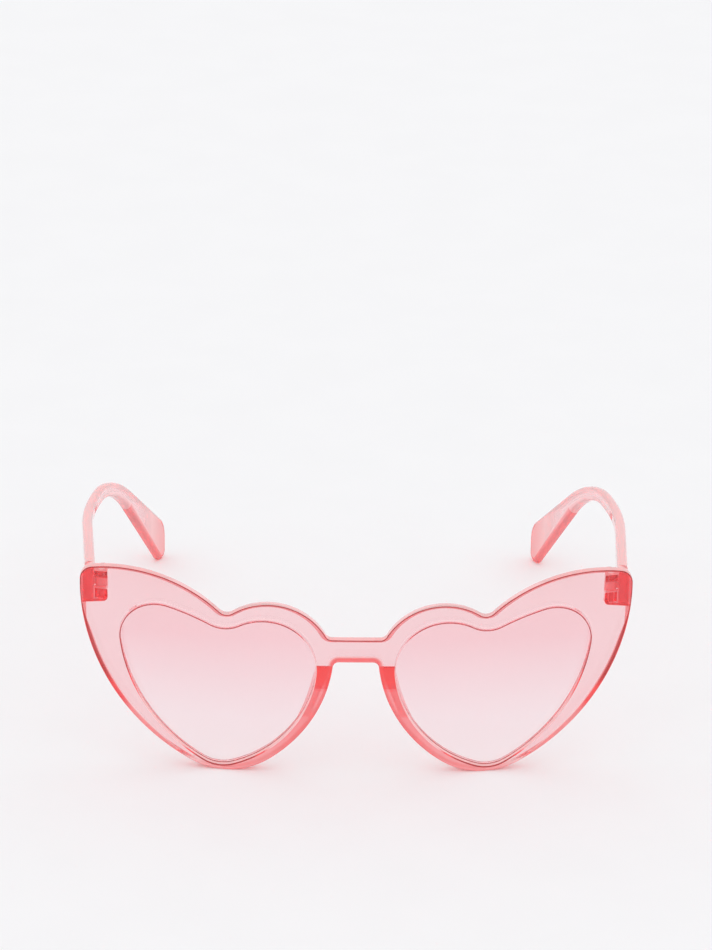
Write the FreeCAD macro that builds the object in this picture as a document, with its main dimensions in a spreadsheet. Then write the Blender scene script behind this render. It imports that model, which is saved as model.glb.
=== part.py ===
import FreeCAD, Part
import math
import os
import re
import Sketcher

# Heart shaped sunglasses in clear moulded plastic, open and standing on a table.
# Millimetres. +X is the wearer's left, +Y runs back along the temples, +Z is up.
# Shapes are drawn with the front's foremost line at y = 0 and the table at z = 0,
# and every sub-part is then placed so that the middle of the whole depth is at y = 0.

# Driving dimensions of one side
SIZES = (
    # Curved front
    ("front_radius", "330"),
    ("front_thickness", "3.4"),
    # Lens opening, a heart of tangent arcs: point, nose side, outer side, wing and lobe
    ("lens_tip_x", "35.3"),
    ("lens_tip_radius", "9.3"),
    ("lens_nose_x", "10.4"),
    ("lens_nose_radius", "32.2"),
    ("lens_outer_x", "62.5"),
    ("lens_side_radius", "45.7"),
    ("lens_corner_round", "9.8"),
    ("lens_wing_x", "66.4"),
    ("lens_wing_top", "49.2"),
    ("lens_wing_radius", "59.9"),
    ("lens_dip_round", "8.4"),
    ("lens_lobe_top", "44"),
    ("lens_lobe_radius", "13.8"),
    # Rim round the opening: its widths, and how much larger its arcs are
    ("rim_bottom", "1.3"),
    ("rim_nose", "4.6"),
    ("rim_side", "10.4"),
    ("rim_lobe", "5.1"),
    ("rim_wing", "8.1"),
    ("tip_shift", "1"),
    ("tip_gain", "10.6"),
    ("nose_gain", "7.3"),
    ("side_gain", "10.7"),
    ("lobe_gain", "3.3"),
    ("lobe_x", "23"),
    ("wing_x", "63"),
    ("wing_radius", "38.8"),
    ("corner_round", "3.9"),
    ("notch_round", "2.8"),
    # Bridge
    ("bridge_bottom", "32.9"),
    ("bridge_height", "6.4"),
    ("bridge_top_round", "2"),
    ("bridge_bottom_round", "1.6"),
    # Lens and the groove that holds it
    ("lens_setback", "1.8"),
    ("lens_thickness", "1.2"),
    ("groove_depth", "0.6"),
    ("lens_clearance", "0.05"),
    # Moulded nose pad behind the nose side of the rim
    ("pad_top", "29.7"),
    ("pad_height", "14"),
    ("pad_edge", "0.4"),
    ("pad_depth", "5.5"),
    ("pad_splay", "1.9"),
    ("pad_head_depth", "0.6"),
    ("pad_rise", "5"),
    ("pad_foot_depth", "1.6"),
    # End block behind the top corner, and the hinge knuckles
    ("hinge_drop", "1.4"),
    ("hinge_inset", "5.9"),
    ("block_inset", "0.4"),
    ("block_height", "11.2"),
    ("block_depth", "2.5"),
    ("block_round", "3.3"),
    ("lug_round", "1.3"),
    ("knuckle_radius", "1.6"),
    ("lower_lug_height", "5"),
    ("knuckle_height", "2.9"),
    ("upper_lug_height", "1.9"),
    ("knuckle_gap", "0.1"),
    ("web_depth", "2.2"),
    ("joint_gap", "0.1"),
    # Hinge screw
    ("screw_radius", "0.7"),
    ("screw_clearance", "0.05"),
    ("head_radius", "1.15"),
    ("head_height", "0.8"),
    ("slot_width", "0.35"),
    ("slot_depth", "0.4"),
    # Temple in plan, with its reach to the tip, angles in degrees
    ("arm_inset", "1.1"),
    ("arm_thickness", "2.8"),
    ("arm_splay", "3.7"),
    ("temple_reach", "137"),
    ("ear_sweep", "57"),
    ("ear_turn", "22.9"),
    ("ear_turn_radius", "147"),
    ("tip_thickness", "2.2"),
    # Temple in side view, angles in degrees below the level
    ("arm_height", "4.3"),
    ("arm_taper", "34"),
    ("arm_slope", "8.6"),
    ("taper_round", "60"),
    ("ear_slope", "39.9"),
    ("ear_under_slope", "48.3"),
    ("bend_top_round", "57"),
    ("bend_under_round", "41"),
    ("tip_height", "10.6"),
    ("tip_flat", "0.6"),
    ("tip_round", "2.2"),
    ("tip_top_round", "8.6"),
    # Overlap that joins added material, and room for trimming cuts
    ("embed", "0.8"),
    ("trim", "5"),
)

doc = FreeCAD.newDocument("heart_sunglasses")
sheet = doc.addObject("Spreadsheet::Sheet", "Sizes")
for row, (alias, text) in enumerate(SIZES, 1):
    sheet.set("A%d" % row, alias)
    sheet.set("B%d" % row, text)
    sheet.setAlias("B%d" % row, alias)
doc.recompute()

ALIASES = {alias for alias, text in SIZES}


def sized(words):
    """An expression on the sheet from words that name its sizes."""
    return re.sub(r"[a-z_]+", lambda m: "Sizes." + m.group() if m.group() in ALIASES else m.group(), words)


def number(words):
    """The value of such words."""
    return float(sheet.evalExpression(sized(words)))


# Places worked out from the sizes
OUTER_X = "(lens_outer_x + rim_side)"
WING_TOP = "(lens_wing_top + rim_wing)"
BLOCK_TOP = "(lens_wing_top + rim_wing - hinge_drop)"
BLOCK_BOTTOM = "(%s - block_height)" % BLOCK_TOP
HINGE_X = "(%s - hinge_inset)" % OUTER_X
BLOCK_SEAT_Y = "(front_radius - sqrt((front_radius - front_thickness)^2 - %s^2) - embed)" % HINGE_X
HINGE_Y = "(%s + embed + block_depth)" % BLOCK_SEAT_Y
LOWER_LUG_TOP = "(%s + lower_lug_height)" % BLOCK_BOTTOM
KNUCKLE_BOTTOM = "(%s + knuckle_gap)" % LOWER_LUG_TOP
UPPER_LUG_BOTTOM = "(%s + knuckle_height + knuckle_gap)" % KNUCKLE_BOTTOM
UPPER_LUG_TOP = "(%s + upper_lug_height)" % UPPER_LUG_BOTTOM
HEAD_SEAT = "(%s - head_height)" % UPPER_LUG_TOP
BLOCK_OUTER_X = "(%s - block_inset)" % OUTER_X
ARM_OUTER_X = "(%s - arm_inset)" % OUTER_X
ARM_INNER_X = "(%s - arm_thickness / cos(arm_splay))" % ARM_OUTER_X
ARM_Y = "(%s + joint_gap)" % HINGE_Y

# Outer rim arcs on the nose side, which the nose pad follows
TIP_RADIUS = "(lens_tip_radius + tip_gain)"
TIP_X = "(lens_tip_x - tip_shift)"
NOSE_RADIUS = "(lens_nose_radius + nose_gain)"
NOSE_X = "(lens_nose_x - rim_nose + %s)" % NOSE_RADIUS
NOSE_Z = "(%s + sqrt((%s - %s)^2 - (%s - %s)^2))" % (TIP_RADIUS, NOSE_RADIUS, TIP_RADIUS, NOSE_X, TIP_X)


def new_body(label):
    body = doc.addObject("PartDesign::Body", label)
    body.Label = label
    return body


def new_sketch(body, name, plane, height="0"):
    """A sketch on one of the body's origin planes, raised by a height along the plane's normal."""
    sketch = body.newObject("Sketcher::SketchObject", name)
    planes = {feature.Role: feature for feature in body.Origin.OriginFeatures}
    sketch.AttachmentSupport = [(planes[plane], "")]
    sketch.MapMode = "FlatFace"
    sketch.setExpression("AttachmentOffset.Base.z", sized(height))
    return sketch


def bind(sketch, words, kind, *geometry):
    """A dimension on the sketch that follows the sheet."""
    index = sketch.addConstraint(Sketcher.Constraint(kind, *geometry, number(words)))
    sketch.setExpression("Constraints[%d]" % index, sized(words))


def tie(sketch, kind, *geometry):
    sketch.addConstraint(Sketcher.Constraint(kind, *geometry))


def place_point(sketch, geometry, end, x, y):
    """Hold a point at x, y, or on the axis where one of them is zero."""
    for kind, words, axis in (("DistanceX", x, -2), ("DistanceY", y, -1)):
        if words == "0":
            tie(sketch, "PointOnObject", geometry, end, axis)
        else:
            bind(sketch, words, kind, geometry, end)


def point(x, y):
    return FreeCAD.Vector(x, y, 0)


def add_line(sketch, start, end):
    return sketch.addGeometry(Part.LineSegment(start, end), False)


def add_arc(sketch, centre, radius, start, end, turns_left):
    """An arc from start to end, with the numbers of its two ends in that order."""
    first, last = (start, end) if turns_left else (end, start)
    angle_first = math.atan2(first.y - centre.y, first.x - centre.x)
    angle_last = math.atan2(last.y - centre.y, last.x - centre.x)
    if angle_last < angle_first:
        angle_last += 2 * math.pi
    circle = Part.Circle(centre, FreeCAD.Vector(0, 0, 1), radius)
    geometry = sketch.addGeometry(Part.ArcOfCircle(circle, angle_first, angle_last), False)
    return (geometry, 1, 2) if turns_left else (geometry, 2, 1)


def draw_polygon(sketch, corners):
    """A closed polygon. Each corner is (x, y, round) in words, with round None where it is sharp."""
    points = [point(number(x), number(y)) for x, y, words in corners]
    count = len(points)
    ends = []
    for i, (x, y, words) in enumerate(corners):
        back = (points[i - 1] - points[i]).normalize()
        ahead = (points[(i + 1) % count] - points[i]).normalize()
        reach = number(words) / math.tan(back.getAngle(ahead) / 2) if words else 0
        ends.append((points[i] + back * reach, points[i] + ahead * reach, back, ahead))
    lines = [add_line(sketch, ends[i][1], ends[(i + 1) % count][0]) for i in range(count)]
    for i, (x, y, words) in enumerate(corners):
        before, after = lines[i - 1], lines[i]
        if not words:
            tie(sketch, "Coincident", before, 2, after, 1)
            place_point(sketch, after, 1, x, y)
            continue
        arrive, leave, back, ahead = ends[i]
        radius = number(words)
        centre = points[i] + (back + ahead).normalize() * (radius / math.sin(back.getAngle(ahead) / 2))
        turns_left = ahead.cross(back).z > 0
        arc, start, end = add_arc(sketch, centre, radius, arrive, leave, turns_left)
        corner = sketch.addGeometry(Part.Point(points[i]), True)
        place_point(sketch, corner, 1, x, y)
        tie(sketch, "PointOnObject", corner, 1, before)
        tie(sketch, "PointOnObject", corner, 1, after)
        tie(sketch, "Tangent", before, 2, arc, start)
        tie(sketch, "Tangent", arc, end, after, 1)
        bind(sketch, words, "Radius", arc)


def draw_rectangle(sketch, left, bottom, right, top):
    draw_polygon(sketch, ((left, bottom, None), (right, bottom, None), (right, top, None), (left, top, None)))


def draw_circle(sketch, x, y, radius):
    circle = Part.Circle(point(number(x), number(y)), FreeCAD.Vector(0, 0, 1), number(radius))
    geometry = sketch.addGeometry(circle, False)
    place_point(sketch, geometry, 3, x, y)
    bind(sketch, radius, "Radius", geometry)


def meet(centre_a, radius_a, centre_b, radius_b, towards):
    """Where two circles cross, on the side that lies towards a direction."""
    line = centre_b - centre_a
    along = (radius_a ** 2 - radius_b ** 2 + line.Length ** 2) / (2 * line.Length)
    across = math.sqrt(radius_a ** 2 - along ** 2)
    unit = point(line.x, line.y).normalize()
    middle = centre_a + unit * along
    side = point(-unit.y, unit.x) * across
    return max((middle + side, middle - side), key=lambda place: place.dot(towards))


def touch(centre, radius, other):
    """The point of a circle nearest to, or in line with, another centre."""
    return centre + (other - centre).normalize() * radius


UP = point(0, 1)
RIGHT = point(1, 0)


def draw_arcs(sketch, arcs, touches):
    """Tangent arcs through the touching points. Each arc is (centre, turns left, radius, x, y), the
    last three in words, with x and y of the centre None where tangency settles them."""
    drawn = []
    for i, (centre, turns_left, radius, x, y) in enumerate(arcs):
        arc, start, end = add_arc(sketch, centre, number(radius), touches[i], touches[i + 1], turns_left)
        bind(sketch, radius, "Radius", arc)
        if x:
            bind(sketch, x, "DistanceX", arc, 3)
        if y:
            bind(sketch, y, "DistanceY", arc, 3)
        if drawn:
            tie(sketch, "Tangent", drawn[-1][0], drawn[-1][2], arc, start)
        drawn.append((arc, start, end))
    return drawn


def heart_centres(tip_x, tip_z, tip, nose_x, nose, side_x, side):
    """Centres of the point, nose side and outer side arcs, all tangent to each other."""
    tip_centre = point(number(tip_x), number(tip_z))
    centres = [tip_centre]
    for x, radius in ((nose_x, nose), (side_x, side)):
        rise = math.sqrt((number(radius) - number(tip)) ** 2 - (number(x) - tip_centre.x) ** 2)
        centres.append(point(number(x), tip_centre.y + rise))
    return centres


def draw_lens_heart(sketch, growth):
    """The lens opening's outline, grown outwards all round."""
    tip, nose, side = ["(lens_%s_radius + %s)" % (name, growth) for name in ("tip", "nose", "side")]
    wing, lobe = ["(lens_%s_radius + %s)" % (name, growth) for name in ("wing", "lobe")]
    corner = "(lens_corner_round + %s)" % growth
    dip = "(lens_dip_round - %s)" % growth
    tip_z = "rim_bottom + lens_tip_radius"
    nose_x = "lens_nose_x + lens_nose_radius"
    side_x = "lens_outer_x - lens_side_radius"
    wing_z = "lens_wing_top - lens_wing_radius"
    lobe_z = "lens_lobe_top - lens_lobe_radius"
    tip_c, nose_c, side_c = heart_centres("lens_tip_x", tip_z, tip, nose_x, nose, side_x, side)
    wing_c = point(number("lens_wing_x"), number(wing_z))
    reach = math.sqrt((number(nose) - number(lobe)) ** 2 - (number(lobe_z) - nose_c.y) ** 2)
    lobe_c = point(nose_c.x - reach, number(lobe_z))
    corner_c = meet(wing_c, number(wing) - number(corner), side_c, number(side) - number(corner), RIGHT)
    dip_c = meet(lobe_c, number(lobe) + number(dip), wing_c, number(wing) + number(dip), UP)
    touches = [touch(nose_c, number(nose), lobe_c), touch(nose_c, number(nose), tip_c),
               touch(side_c, number(side), tip_c), touch(side_c, number(side), corner_c),
               touch(wing_c, number(wing), corner_c), touch(wing_c, number(wing), dip_c),
               touch(lobe_c, number(lobe), dip_c)]
    arcs = [(nose_c, True, nose, nose_x, None), (tip_c, True, tip, "lens_tip_x", tip_z),
            (side_c, True, side, side_x, None), (corner_c, True, corner, None, None),
            (wing_c, True, wing, "lens_wing_x", wing_z), (dip_c, False, dip, None, None),
            (lobe_c, True, lobe, None, lobe_z)]
    drawn = draw_arcs(sketch, arcs, touches + touches[:1])
    tie(sketch, "Tangent", drawn[-1][0], drawn[-1][2], drawn[0][0], drawn[0][1])


def draw_front_outline(sketch):
    """The front's outer edge on one side, closed along the middle of the bridge."""
    side = "(lens_side_radius + side_gain)"
    side_x = "%s - %s" % (OUTER_X, side)
    lobe = "(lens_lobe_radius + lobe_gain)"
    lobe_z = "lens_lobe_top + rim_lobe - %s" % lobe
    wing_z = "%s - wing_radius" % WING_TOP
    top = "bridge_bottom + bridge_height"
    tip_c, nose_c, side_c = heart_centres(TIP_X, TIP_RADIUS, TIP_RADIUS, NOSE_X, NOSE_RADIUS, side_x, side)
    wing_c = point(number("wing_x"), number(wing_z))
    lobe_c = point(number("lobe_x"), number(lobe_z))
    corner_r, notch_r = number("corner_round"), number("notch_round")
    nose_r, side_r, wing_r, lobe_r = number(NOSE_RADIUS), number(side), number("wing_radius"), number(lobe)
    corner_c = meet(wing_c, wing_r - corner_r, side_c, side_r - corner_r, RIGHT)
    notch_c = meet(lobe_c, lobe_r + notch_r, wing_c, wing_r + notch_r, UP)
    rise = number(top) + number("bridge_top_round")
    across = math.sqrt((lobe_r + number("bridge_top_round")) ** 2 - (rise - lobe_c.y) ** 2)
    over_c = point(lobe_c.x - across, rise)
    drop = number("bridge_bottom - bridge_bottom_round")
    across = math.sqrt((nose_r + number("bridge_bottom_round")) ** 2 - (drop - nose_c.y) ** 2)
    under_c = point(nose_c.x - across, drop)
    under_end = point(under_c.x, number("bridge_bottom"))
    over_end = point(over_c.x, number(top))
    touches = [under_end, touch(nose_c, nose_r, under_c), touch(nose_c, nose_r, tip_c),
               touch(side_c, side_r, tip_c), touch(side_c, side_r, corner_c), touch(wing_c, wing_r, corner_c),
               touch(wing_c, wing_r, notch_c), touch(lobe_c, lobe_r, notch_c), touch(lobe_c, lobe_r, over_c),
               over_end]
    arcs = [(under_c, False, "bridge_bottom_round", None, None), (nose_c, True, NOSE_RADIUS, NOSE_X, None),
            (tip_c, True, TIP_RADIUS, TIP_X, TIP_RADIUS), (side_c, True, side, side_x, None),
            (corner_c, True, "corner_round", None, None), (wing_c, True, "wing_radius", "wing_x", wing_z),
            (notch_c, False, "notch_round", None, None), (lobe_c, True, lobe, "lobe_x", lobe_z),
            (over_c, False, "bridge_top_round", None, None)]
    drawn = draw_arcs(sketch, arcs, touches)
    below = add_line(sketch, point(0, under_end.y), under_end)
    above = add_line(sketch, over_end, point(0, over_end.y))
    middle = add_line(sketch, point(0, over_end.y), point(0, under_end.y))
    tie(sketch, "Tangent", below, 2, drawn[0][0], drawn[0][1])
    tie(sketch, "Tangent", drawn[-1][0], drawn[-1][2], above, 1)
    tie(sketch, "Coincident", above, 2, middle, 1)
    tie(sketch, "Coincident", middle, 2, below, 1)
    tie(sketch, "Horizontal", below)
    tie(sketch, "Horizontal", above)
    place_point(sketch, middle, 1, "0", top)
    place_point(sketch, middle, 2, "0", "bridge_bottom")


def curved_plate(body, name, front_setback, rear_setback):
    """A plate bent to the front's curve, between two distances behind its front face."""
    sketch = new_sketch(body, name + "_plan", "XY_Plane", "-trim")
    centre = point(0, number("front_radius"))
    end_x = number(OUTER_X + " + trim")
    arcs = []
    for setback in (front_setback, rear_setback):
        words = "front_radius - (%s)" % setback
        radius = number(words)
        start = point(0, centre.y - radius)
        end = point(end_x, centre.y - math.sqrt(radius ** 2 - end_x ** 2))
        arc, first, last = add_arc(sketch, centre, radius, start, end, True)
        bind(sketch, words, "Radius", arc)
        place_point(sketch, arc, 3, "0", "front_radius")
        arcs.append((arc, start, end))
    (front, front_start, front_end), (rear, rear_start, rear_end) = arcs
    edge = add_line(sketch, front_end, rear_end)
    middle = add_line(sketch, rear_start, front_start)
    tie(sketch, "Coincident", front, 2, edge, 1)
    tie(sketch, "Coincident", edge, 2, rear, 2)
    tie(sketch, "Coincident", rear, 1, middle, 1)
    tie(sketch, "Coincident", middle, 2, front, 1)
    tie(sketch, "Vertical", edge)
    tie(sketch, "PointOnObject", front, 1, -2)
    tie(sketch, "PointOnObject", rear, 1, -2)
    bind(sketch, OUTER_X + " + trim", "DistanceX", edge, 1)
    return pad(body, name, sketch, WING_TOP + " + 2 * trim")


def pad(body, name, sketch, length):
    feature = body.newObject("PartDesign::Pad", name)
    feature.Profile = sketch
    feature.setExpression("Length", sized(length))
    doc.recompute()
    return feature


def pocket(body, name, sketch, reverse, length=None):
    """A cut through all, or to a depth, that has to take something away."""
    before = body.Shape.Volume
    feature = body.newObject("PartDesign::Pocket", name)
    feature.Profile = sketch
    feature.Reversed = reverse
    if length:
        feature.setExpression("Length", sized(length))
    else:
        feature.Type = "ThroughAll"
    doc.recompute()
    if not body.Shape.Volume < before:
        raise RuntimeError(name + " cuts nothing")
    return feature


def frame_to_trim(sketch):
    """The rectangle outside an outline, so that a cut leaves what is inside the outline."""
    draw_rectangle(sketch, "-trim", "-2 * trim", OUTER_X + " + 2 * trim", WING_TOP + " + 2 * trim")


def make_lens(label, front_setback, rear_setback, growth):
    """A heart shaped plate on the front's curve."""
    body = new_body(label)
    curved_plate(body, label + "_plate", front_setback, rear_setback)
    sketch = new_sketch(body, label + "_outline", "XZ_Plane")
    frame_to_trim(sketch)
    draw_lens_heart(sketch, growth)
    pocket(body, label + "_trim", sketch, False)
    return body


def pad_edge_x(height):
    """The nose side edge of the nose pad at a height, just inside the rim's own edge."""
    return "(%s - sqrt(%s^2 - (%s - %s)^2) + pad_edge)" % (NOSE_X, NOSE_RADIUS, height, NOSE_Z)


def add_nose_pad(body):
    """A pad behind the rim, with a flat splayed face for the side of the nose. It runs on across the
    lens opening, which is cut afterwards and trims it flush."""
    head, foot = pad_edge_x("pad_top"), pad_edge_x("(pad_top - pad_height)")
    rear = "front_thickness + pad_depth"
    across = " + rim_nose + trim"
    plan = new_sketch(body, "nose_pad_plan", "XY_Plane", "pad_top")
    draw_polygon(plan, (
        (head, "front_thickness - embed", None),
        (head + across, "front_thickness - embed", None),
        (head + across, rear, None),
        (head + " + pad_splay", rear, None),
        (head, "front_thickness", None),
    ))
    nose_pad = pad(body, "nose_pad", plan, "pad_height")
    nose_pad.UseCustomVector = True
    nose_pad.setExpression("Direction.x", sized("%s - %s" % (foot, head)))
    nose_pad.setExpression("Direction.y", "0")
    nose_pad.setExpression("Direction.z", sized("-pad_height"))
    nose_pad.AlongSketchNormal = True
    doc.recompute()

    # Its rear swells from a shallow head and slopes forward again towards its foot
    slope = new_sketch(body, "nose_pad_slope", "YZ_Plane")
    draw_polygon(slope, (
        ("front_thickness + pad_head_depth", "pad_top", None),
        (rear, "pad_top - pad_rise", None),
        ("front_thickness + pad_foot_depth", "pad_top - pad_height", None),
        (rear + " + trim", "pad_top - pad_height", None),
        (rear + " + trim", "pad_top", None),
    ))
    pocket(body, "nose_pad_rear", slope, True, foot + across + " + trim")


def make_front_half(groove):
    body = new_body("front_half")
    curved_plate(body, "front_plate", "0", "front_thickness")
    outline = new_sketch(body, "front_outline", "XZ_Plane")
    frame_to_trim(outline)
    draw_front_outline(outline)
    pocket(body, "front_trim", outline, False)

    add_nose_pad(body)
    opening = new_sketch(body, "lens_opening_outline", "XZ_Plane")
    draw_lens_heart(opening, "0")
    pocket(body, "lens_opening", opening, False)

    # End block that the temple's end closes against, with a foot that carries the lower hinge lug
    web_x = HINGE_X + " - knuckle_radius"
    block = new_sketch(body, "block_outline", "XZ_Plane", "-" + HINGE_Y)
    draw_polygon(block, (
        (web_x, BLOCK_BOTTOM, "lug_round"),
        (BLOCK_OUTER_X, BLOCK_BOTTOM, None),
        (BLOCK_OUTER_X, BLOCK_TOP, "block_round"),
        (ARM_INNER_X, BLOCK_TOP, None),
        (ARM_INNER_X, LOWER_LUG_TOP, None),
        (web_x, LOWER_LUG_TOP, None),
    ))
    pad(body, "end_block", block, "block_depth + embed")

    # Hinge lugs below and above the temple's knuckle, the upper one on a web of its own
    web = new_sketch(body, "upper_web_plan", "XY_Plane", UPPER_LUG_BOTTOM)
    draw_rectangle(web, web_x, BLOCK_SEAT_Y, ARM_INNER_X + " + embed", HINGE_Y)
    pad(body, "upper_web", web, "upper_lug_height")
    for name, bottom in (("lower_lug", BLOCK_BOTTOM), ("upper_lug", UPPER_LUG_BOTTOM)):
        barrel = new_sketch(body, name + "_plan", "XY_Plane", bottom)
        draw_circle(barrel, HINGE_X, HINGE_Y, "knuckle_radius")
        pad(body, name, barrel, name + "_height")

    hole = new_sketch(body, "screw_hole_plan", "XY_Plane")
    draw_circle(hole, HINGE_X, HINGE_Y, "screw_radius + screw_clearance")
    pocket(body, "screw_hole", hole, True)
    seat = new_sketch(body, "head_seat_plan", "XY_Plane", HEAD_SEAT)
    draw_circle(seat, HINGE_X, HINGE_Y, "head_radius + screw_clearance")
    pocket(body, "head_seat", seat, True)

    # Groove for the lens edge
    cut = body.newObject("PartDesign::Boolean", "lens_groove")
    cut.Type = "Cut"
    cut.addObjects([groove])
    doc.recompute()
    return body


def make_temple(label):
    body = new_body(label)

    # Plan: a strip that spreads outwards, then sweeps in behind the ear and thins towards its tip
    splay_in = "(ear_turn - arm_splay)"
    corner_y = "(temple_reach - ear_sweep)"
    corner_x = "(%s + (%s - %s) * tan(arm_splay))" % (ARM_OUTER_X, corner_y, ARM_Y)
    end_y = "temple_reach + trim"
    end_x = "(%s - (%s - %s) * tan(%s))" % (corner_x, end_y, corner_y, splay_in)
    inward = "arm_thickness * (cos(arm_splay) + cos(%s)) / (1 + cos(ear_turn))" % splay_in
    forward = "arm_thickness * (sin(%s) - sin(arm_splay)) / (1 + cos(ear_turn))" % splay_in
    end_thickness = "(tip_thickness - (arm_thickness - tip_thickness) * trim / ear_sweep)"
    plan = new_sketch(body, label + "_plan", "XY_Plane", "-trim")
    draw_polygon(plan, (
        (ARM_OUTER_X, ARM_Y, None),
        (corner_x, corner_y, "ear_turn_radius"),
        (end_x, end_y, None),
        (end_x + " - %s / cos(%s)" % (end_thickness, splay_in), end_y, None),
        (corner_x + " - " + inward, corner_y + " - " + forward, "ear_turn_radius - arm_thickness"),
        (ARM_INNER_X, ARM_Y, None),
    ))
    pad(body, label + "_strip", plan, BLOCK_TOP + " + 2 * trim")

    # Side view: a tapering arm, the bend over the ear and an ear piece that stands on its tip. The arm's
    # top and underside are parallel lines, and the bend is where they meet the ear piece's two lines.
    under = "(%s - arm_height)" % BLOCK_TOP
    foot_y = "(temple_reach - tip_flat - tip_round * (1 + tan(ear_under_slope / 2)))"
    bend_y = "((tip_height - %s + temple_reach * tan(ear_slope) - %s * tan(arm_slope))" \
             " / (tan(ear_slope) - tan(arm_slope)))" % (BLOCK_TOP, ARM_Y)
    under_y = "((%s * tan(ear_under_slope) - %s - %s * tan(arm_slope))" \
              " / (tan(ear_under_slope) - tan(arm_slope)))" % (foot_y, under, ARM_Y)
    side = new_sketch(body, label + "_side", "YZ_Plane")
    draw_rectangle(side, "0", "-2 * trim", "temple_reach + 2 * trim", BLOCK_TOP + " + 2 * trim")
    draw_polygon(side, (
        (ARM_Y + " - trim", BLOCK_TOP + " + trim * tan(arm_slope)", None),
        (ARM_Y + " - trim", BLOCK_BOTTOM, None),
        (ARM_Y, BLOCK_BOTTOM, None),
        (ARM_Y + " + arm_taper", under + " - arm_taper * tan(arm_slope)", "taper_round"),
        (under_y, "%s - (%s - %s) * tan(arm_slope)" % (under, under_y, ARM_Y), "bend_under_round"),
        (foot_y, "0", "tip_round"),
        ("temple_reach", "0", "tip_round"),
        ("temple_reach", "tip_height", "tip_top_round"),
        (bend_y, "%s - (%s - %s) * tan(arm_slope)" % (BLOCK_TOP, bend_y, ARM_Y), "bend_top_round"),
    ))
    pocket(body, label + "_trim", side, True)

    # Middle knuckle, on a short web from the arm's inner face
    web = new_sketch(body, label + "_web_plan", "XY_Plane", KNUCKLE_BOTTOM)
    draw_rectangle(web, HINGE_X, ARM_Y, ARM_INNER_X + " + embed", ARM_Y + " + web_depth")
    pad(body, label + "_web", web, "knuckle_height")
    barrel = new_sketch(body, label + "_knuckle_plan", "XY_Plane", KNUCKLE_BOTTOM)
    draw_circle(barrel, HINGE_X, HINGE_Y, "knuckle_radius")
    pad(body, label + "_knuckle", barrel, "knuckle_height")
    hole = new_sketch(body, label + "_hole_plan", "XY_Plane")
    draw_circle(hole, HINGE_X, HINGE_Y, "screw_radius + screw_clearance")
    pocket(body, label + "_hole", hole, True)
    return body


def make_screw(label):
    body = new_body(label)
    shank = new_sketch(body, label + "_shank_plan", "XY_Plane", BLOCK_BOTTOM)
    draw_circle(shank, HINGE_X, HINGE_Y, "screw_radius")
    pad(body, label + "_shank", shank, "%s - %s" % (HEAD_SEAT, BLOCK_BOTTOM))
    head = new_sketch(body, label + "_head_plan", "XY_Plane", HEAD_SEAT)
    draw_circle(head, HINGE_X, HINGE_Y, "head_radius")
    pad(body, label + "_head", head, "head_height")
    slot = new_sketch(body, label + "_slot_plan", "XY_Plane", UPPER_LUG_TOP)
    draw_rectangle(slot, HINGE_X + " - 2 * head_radius", HINGE_Y + " - slot_width / 2",
                   HINGE_X + " + 2 * head_radius", HINGE_Y + " + slot_width / 2")
    pocket(body, label + "_slot", slot, False, "slot_depth")
    return body


def mirrored(source, label):
    """The other side's piece, across the middle plane."""
    other = doc.addObject("Part::Mirroring", label)
    other.Label = label
    other.Source = source
    other.Normal = FreeCAD.Vector(1, 0, 0)
    doc.recompute()
    return other


groove_setback = "lens_setback - lens_clearance"
groove_end = "lens_setback + lens_thickness + lens_clearance"
groove = make_lens("lens_groove_room", groove_setback, groove_end, "groove_depth")
front_half = make_front_half(groove)
front_frame = doc.addObject("Part::Fuse", "front_frame")
front_frame.Base = front_half
front_frame.Tool = mirrored(front_half, "front_other_half")
front_frame.Refine = True
lens_end = "lens_setback + lens_thickness"
left_lens = make_lens("left_lens", "lens_setback", lens_end, "groove_depth - lens_clearance")
left_temple = make_temple("left_temple")
left_screw = make_screw("left_hinge_screw")
pieces = [front_frame, left_lens, left_temple, left_screw]
for piece in (left_lens, left_temple, left_screw):
    pieces.append(mirrored(piece, piece.Label.replace("left", "right")))
for piece in pieces:
    if piece.TypeId != "Part::Mirroring":
        piece.setExpression("Placement.Base.y", sized("-temple_reach / 2"))
doc.recompute()

for item in doc.Objects:
    if "Invalid" in item.State or "Error" in item.State:
        raise RuntimeError(item.Name + " failed")
for piece in pieces:
    if piece.Shape.isNull() or not piece.Shape.isValid():
        raise RuntimeError(piece.Label + " is not a valid shape")

os.makedirs("parts", exist_ok=True)
for piece in pieces:
    piece.Shape.exportStep("parts/%s.step" % piece.Label)
    box = piece.Shape.BoundBox
    extent = (box.XMin, box.XMax, box.YMin, box.YMax, box.ZMin, box.ZMax)
    print(piece.Label, "solids", len(piece.Shape.Solids), "volume %.1f" % piece.Shape.Volume,
          "x %.2f %.2f y %.2f %.2f z %.2f %.2f" % extent)
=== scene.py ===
import math
from collections import namedtuple

import bmesh
import bpy
from bmesh.types import BMEdge, BMFace, BMVert
from mathutils import Matrix, Vector


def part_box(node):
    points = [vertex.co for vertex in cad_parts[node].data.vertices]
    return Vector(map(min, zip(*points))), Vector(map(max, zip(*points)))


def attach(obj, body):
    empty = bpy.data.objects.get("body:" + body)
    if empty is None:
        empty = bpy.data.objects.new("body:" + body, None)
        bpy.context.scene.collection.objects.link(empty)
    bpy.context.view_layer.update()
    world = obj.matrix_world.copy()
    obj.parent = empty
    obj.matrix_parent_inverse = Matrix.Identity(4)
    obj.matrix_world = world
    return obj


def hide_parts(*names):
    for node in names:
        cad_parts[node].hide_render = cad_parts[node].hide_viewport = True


# Heart shaped sunglasses in clear coral-pink plastic, standing open on a pale table.
# Shapes are modelled in millimetres, drawn with the front's foremost line at y = 0, and are
# set into the frame in metres at the end. Names with left are on the wearer's left, at +X.

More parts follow.
